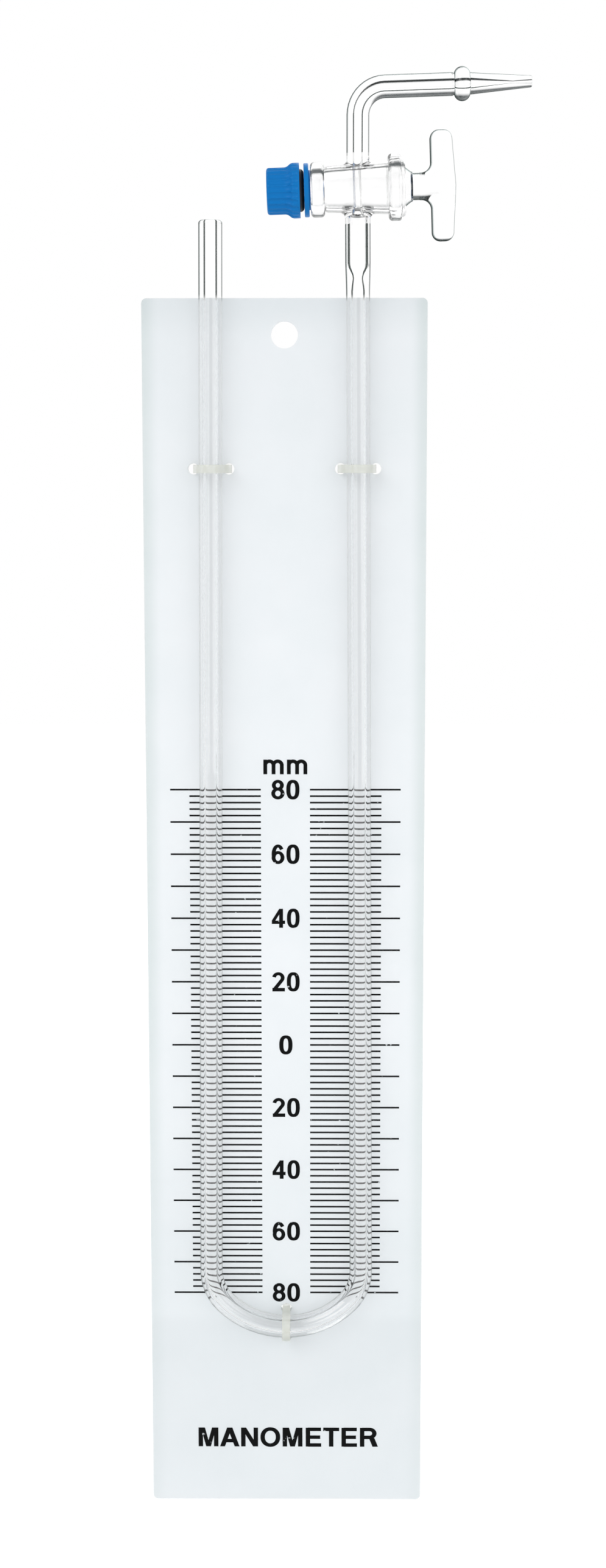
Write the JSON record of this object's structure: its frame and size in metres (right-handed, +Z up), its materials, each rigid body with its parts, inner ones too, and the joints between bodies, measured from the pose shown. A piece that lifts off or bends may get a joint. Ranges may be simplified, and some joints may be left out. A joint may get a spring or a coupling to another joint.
{
  "type": "u-tube manometer",
  "caption": "Glass U-tube manometer with a stopcock and hose outlet, tied to a white hanging board with a millimetre scale.",
  "frame": {"origin": "centre of the hanging hole, where its axis meets the back of the board", "axes": "+Z up along the board, the printed front faces -Y, +X towards the hose outlet"},
  "size_m": [0.1147, 0.0207, 0.4418],
  "materials": {
    "opal_acrylic": "satin white sheet",
    "clear_glass": "clear, fire polished",
    "key_glass": "clear, ground taper",
    "blue_plastic": "moulded",
    "black_rubber": "moulded",
    "natural_nylon": "translucent, moulded"
  },
  "bodies": {
    "board": {"backboard": "opal_acrylic", "glass_u_tube": "clear_glass", "tie_left": "natural_nylon", "tie_right": "natural_nylon", "tie_bottom": "natural_nylon"},
    "key": {"stopcock_key": "key_glass", "retaining_washer": "blue_plastic", "o_ring": "black_rubber", "retaining_nut": "blue_plastic"}
  },
  "joints": [
    {"name": "key_turn", "type": "hinge", "parent": "board", "child": "key", "pos_m": [0.02162, -0.0065, 0.0419], "axis": [0.9995, 0, 0.0314], "continuous": true}
  ]
}
